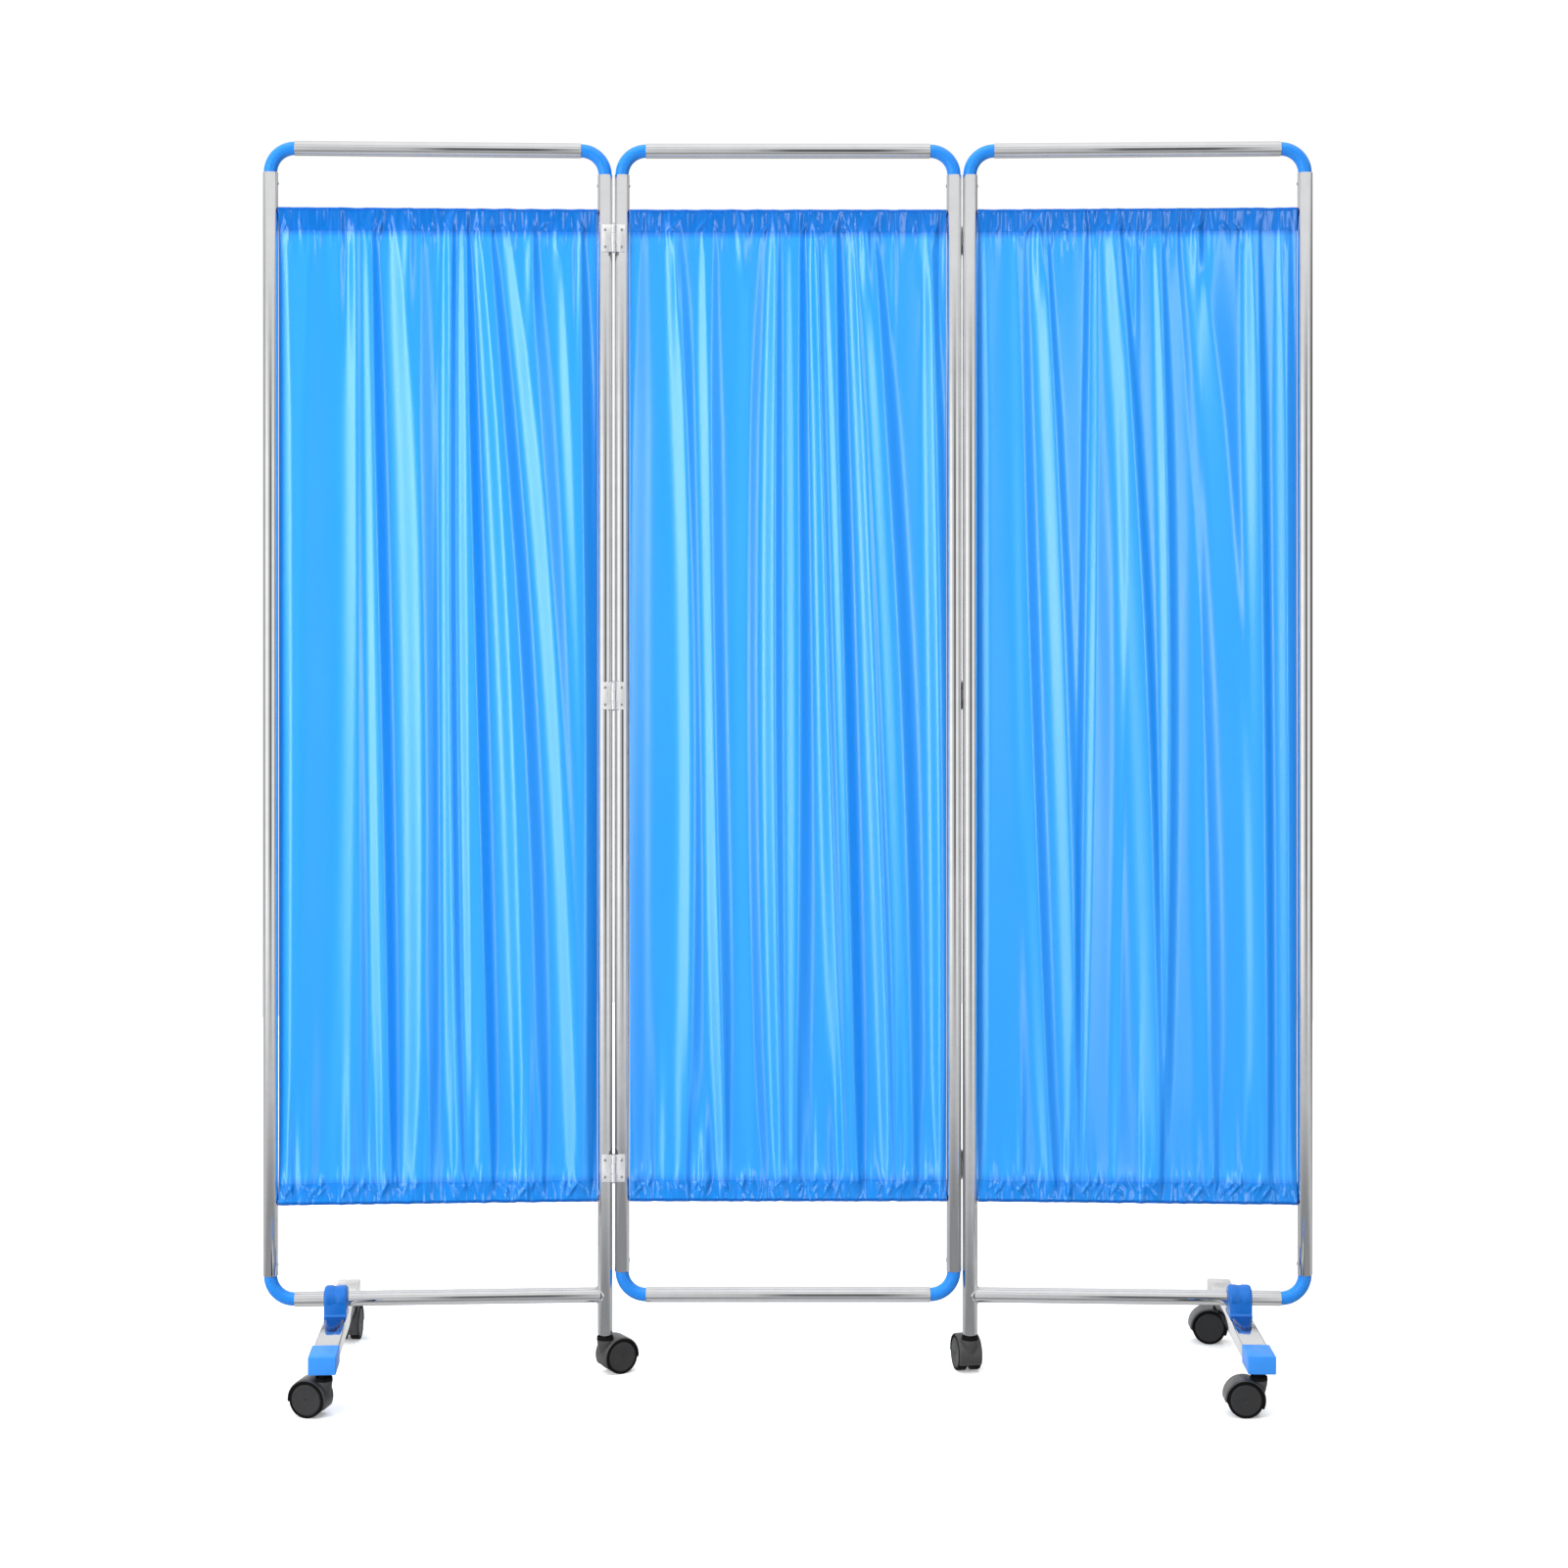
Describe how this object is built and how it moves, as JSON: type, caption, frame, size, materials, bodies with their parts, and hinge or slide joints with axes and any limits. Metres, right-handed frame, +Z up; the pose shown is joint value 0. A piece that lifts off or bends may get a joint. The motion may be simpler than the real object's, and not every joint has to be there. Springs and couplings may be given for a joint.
{
  "type": "ward privacy screen",
  "caption": "Folding ward privacy screen: three hinged tube frames with gathered blue curtains, the wings standing on cross feet with swivelling castors.",
  "frame": {"origin": "on the floor under the middle frame, midway between the two cross feet from front to back", "axes": "+Z up, +X to the right seen from the front, +Y to the back, the middle frame lies along X"},
  "size_m": [1.5269, 0.427, 1.8],
  "materials": {
    "polished_tube": "mirror-polished tube",
    "zinc_pin": "bright zinc plated",
    "curtain_cloth": "light woven cloth, azure blue",
    "blue_joint": "smooth moulded plastic, bright blue",
    "black_castor": "moulded nylon, black",
    "grey_wheel": "moulded nylon, dark grey"
  },
  "bodies": {
    "middle_panel": {"middle_left_post": "polished_tube", "middle_right_post": "polished_tube", "middle_top_rail": "polished_tube", "middle_bottom_rail": "polished_tube", "middle_left_top_elbow": "blue_joint", "middle_left_bottom_elbow": "blue_joint", "middle_right_top_elbow": "blue_joint", "middle_right_bottom_elbow": "blue_joint", "middle_curtain": "curtain_cloth", "middle_top_rod": "zinc_pin", "middle_bottom_rod": "zinc_pin", "left_lower_hinge_pin": "zinc_pin", "left_centre_hinge_pin": "zinc_pin", "left_upper_hinge_pin": "zinc_pin", "right_lower_hinge_pin": "zinc_pin", "right_centre_hinge_pin": "zinc_pin", "right_upper_hinge_pin": "zinc_pin"},
    "left_wing": {"left_outer_post": "polished_tube", "left_inner_post": "polished_tube", "left_top_rail": "polished_tube", "left_bottom_rail": "polished_tube", "left_outer_top_elbow": "blue_joint", "left_outer_bottom_elbow": "blue_joint", "left_inner_top_elbow": "blue_joint", "left_curtain": "curtain_cloth", "left_top_rod": "zinc_pin", "left_bottom_rod": "zinc_pin", "left_foot_bar": "polished_tube", "left_foot_cap": "blue_joint", "left_foot_plug": "blue_joint", "left_foot_clamp": "blue_joint"},
    "right_wing": {"right_outer_post": "polished_tube", "right_inner_post": "polished_tube", "right_top_rail": "polished_tube", "right_bottom_rail": "polished_tube", "right_outer_top_elbow": "blue_joint", "right_outer_bottom_elbow": "blue_joint", "right_inner_top_elbow": "blue_joint", "right_curtain": "curtain_cloth", "right_top_rod": "zinc_pin", "right_bottom_rod": "zinc_pin", "right_foot_bar": "polished_tube", "right_foot_cap": "blue_joint", "right_foot_plug": "blue_joint", "right_foot_clamp": "blue_joint"},
    "left_front_castor": {"left_front_castor_housing": "black_castor"},
    "left_front_wheels": {"left_front_castor_wheels": "grey_wheel"},
    "left_rear_castor": {"left_rear_castor_housing": "black_castor"},
    "left_rear_wheels": {"left_rear_castor_wheels": "grey_wheel"},
    "left_inner_castor": {"left_inner_castor_housing": "black_castor"},
    "left_inner_wheels": {"left_inner_castor_wheels": "grey_wheel"},
    "right_front_castor": {"right_front_castor_housing": "black_castor"},
    "right_front_wheels": {"right_front_castor_wheels": "grey_wheel"},
    "right_rear_castor": {"right_rear_castor_housing": "black_castor"},
    "right_rear_wheels": {"right_rear_castor_wheels": "grey_wheel"},
    "right_inner_castor": {"right_inner_castor_housing": "black_castor"},
    "right_inner_wheels": {"right_inner_castor_wheels": "grey_wheel"}
  },
  "joints": [
    {"name": "left_fold", "type": "hinge", "parent": "middle_panel", "child": "left_wing", "pos_m": [-0.255, 0.0055, 0], "axis": [0, 0, 1], "range_deg": [-9, 172]},
    {"name": "right_fold", "type": "hinge", "parent": "middle_panel", "child": "right_wing", "pos_m": [0.255, 0.0331, 0], "axis": [0, 0, 1], "range_deg": [-3.5, 177.5]},
    {"name": "left_front_swivel", "type": "hinge", "parent": "left_wing", "child": "left_front_castor", "pos_m": [-0.64909, -0.17552, 0], "axis": [0, 0, 1], "continuous": true},
    {"name": "left_front_roll", "type": "hinge", "parent": "left_front_castor", "child": "left_front_wheels", "pos_m": [-0.6685, -0.1707, 0.025], "axis": [-0.2407, -0.9706, 0], "continuous": true},
    {"name": "left_rear_swivel", "type": "hinge", "parent": "left_wing", "child": "left_rear_castor", "pos_m": [-0.66726, 0.17201, 0], "axis": [0, 0, 1], "continuous": true},
    {"name": "left_rear_roll", "type": "hinge", "parent": "left_rear_castor", "child": "left_rear_wheels", "pos_m": [-0.66654, 0.19199, 0.025], "axis": [-0.9994, 0.0357, 0], "continuous": true},
    {"name": "left_inner_swivel", "type": "hinge", "parent": "left_wing", "child": "left_inner_castor", "pos_m": [-0.2677, 0.01866, 0], "axis": [0, 0, 1], "continuous": true},
    {"name": "left_inner_roll", "type": "hinge", "parent": "left_inner_castor", "child": "left_inner_wheels", "pos_m": [-0.25038, 0.02866, 0.025], "axis": [-0.4999, 0.8661, 0], "continuous": true},
    {"name": "right_front_swivel", "type": "hinge", "parent": "right_wing", "child": "right_front_castor", "pos_m": [0.64943, -0.17208, 0], "axis": [0, 0, 1], "continuous": true},
    {"name": "right_front_roll", "type": "hinge", "parent": "right_front_castor", "child": "right_front_wheels", "pos_m": [0.62945, -0.17121, 0.025], "axis": [-0.0436, -0.9991, 0], "continuous": true},
    {"name": "right_rear_swivel", "type": "hinge", "parent": "right_wing", "child": "right_rear_castor", "pos_m": [0.6646, 0.17559, 0], "axis": [0, 0, 1], "continuous": true},
    {"name": "right_rear_roll", "type": "hinge", "parent": "right_rear_castor", "child": "right_rear_wheels", "pos_m": [0.64462, 0.17646, 0.025], "axis": [-0.0436, -0.9991, 0], "continuous": true},
    {"name": "right_inner_swivel", "type": "hinge", "parent": "right_wing", "child": "right_inner_castor", "pos_m": [0.26639, 0.01879, 0], "axis": [0, 0, 1], "continuous": true},
    {"name": "right_inner_roll", "type": "hinge", "parent": "right_inner_castor", "child": "right_inner_wheels", "pos_m": [0.26276, 0.03846, 0.025], "axis": [-0.9834, -0.1816, 0], "continuous": true}
  ]
}
